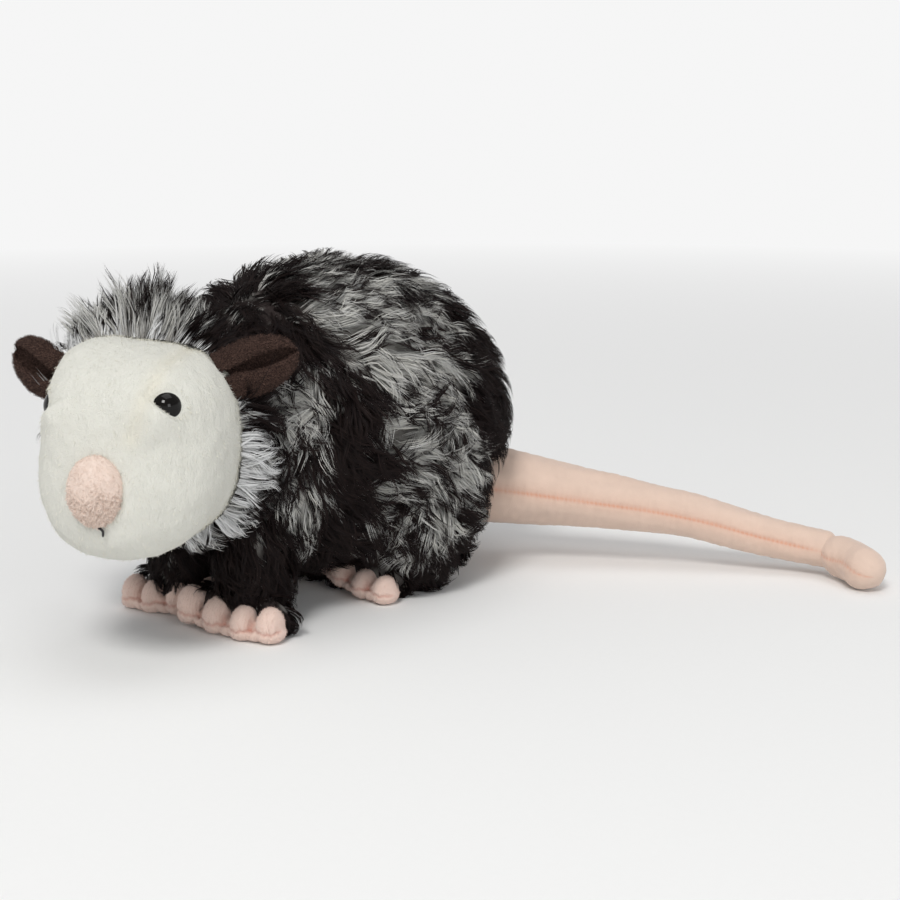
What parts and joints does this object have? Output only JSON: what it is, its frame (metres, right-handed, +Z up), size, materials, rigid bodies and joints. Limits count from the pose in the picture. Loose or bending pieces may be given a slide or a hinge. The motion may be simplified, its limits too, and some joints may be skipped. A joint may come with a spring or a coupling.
{
  "type": "plush opossum toy",
  "caption": "Stuffed plush opossum crouching on its feet, with long grizzled pile, a short-pile white face, felt ears and a long velour tail laid out behind.",
  "frame": {"origin": "middle of the box the toy fills, on the floor it rests on", "axes": "+Z up, -Y the way the toy's front points, +X the toy's left"},
  "size_m": [0.283, 0.3344, 0.1594],
  "materials": {
    "long_pile": "long black and grey-white pile fabric",
    "face_pile": "short off-white pile fabric",
    "brown_felt": "dark brown felt",
    "pink_velour": "short pink velour",
    "tail_velour": "pale pinkish beige velour",
    "eye_button": "glossy black",
    "black_thread": "black sewing thread"
  },
  "bodies": {
    "root": {"face": "face_pile", "nose": "pink_velour", "mouth_stitch": "black_thread", "eye_left": "eye_button", "eye_right": "eye_button", "ear_left": "brown_felt", "ear_right": "brown_felt", "head": "long_pile", "torso": "long_pile", "front_leg_left": "long_pile", "front_leg_right": "long_pile", "hind_leg_left": "long_pile", "hind_leg_right": "long_pile", "front_foot_left": "pink_velour", "front_foot_right": "pink_velour", "hind_foot_left": "pink_velour", "hind_foot_right": "pink_velour", "tail": "tail_velour", "tail_tip": "tail_velour"}
  },
  "joints": []
}
